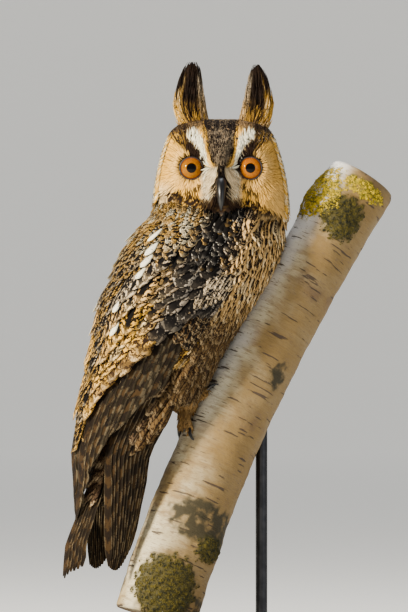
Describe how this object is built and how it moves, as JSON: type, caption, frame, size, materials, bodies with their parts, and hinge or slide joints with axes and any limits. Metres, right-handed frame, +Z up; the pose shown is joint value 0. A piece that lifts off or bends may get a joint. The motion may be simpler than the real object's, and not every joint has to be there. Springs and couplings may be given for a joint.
{
  "type": "long eared owl display model",
  "caption": "Life-size long-eared owl, wings folded, looking back over its shoulder from a leaning birch length on a flat stand.",
  "frame": {"origin": "middle of the stand's flat underside", "axes": "+Z up; the owl's face looks along -Y; its body heads 20 degrees round from +X towards +Y"},
  "size_m": [0.2551, 0.164, 0.4592],
  "materials": {
    "plumage": "soft mottled feathers",
    "flight_feathers": "barred feathers",
    "face_feathers": "fine short feathers",
    "leg_down": "short down",
    "iris": "clear glass eye over an orange iris",
    "horn": "dark satin horn",
    "birch_bark": "papery bark with moss",
    "plinth_wood": "dark stained",
    "dark_steel": "blackened"
  },
  "bodies": {
    "root": {"bill_lower": "horn", "bill_upper": "horn", "claw_left_1": "horn", "claw_left_2": "horn", "claw_left_3": "horn", "claw_left_4": "horn", "claw_right_1": "horn", "claw_right_2": "horn", "claw_right_3": "horn", "claw_right_4": "horn", "ear_tuft_left": "flight_feathers", "ear_tuft_right": "flight_feathers", "eye_left": "iris", "eye_right": "iris", "eyelids_left": "horn", "eyelids_right": "horn", "foot_left": "leg_down", "foot_right": "leg_down", "head": "face_feathers", "leg_left": "leg_down", "leg_right": "leg_down", "neck": "plumage", "perch": "birch_bark", "stand_base": "plinth_wood", "stand_rod_high": "dark_steel", "stand_rod_low": "dark_steel", "tail": "flight_feathers", "torso": "plumage", "wing_left": "flight_feathers", "wing_right": "flight_feathers"}
  },
  "joints": []
}
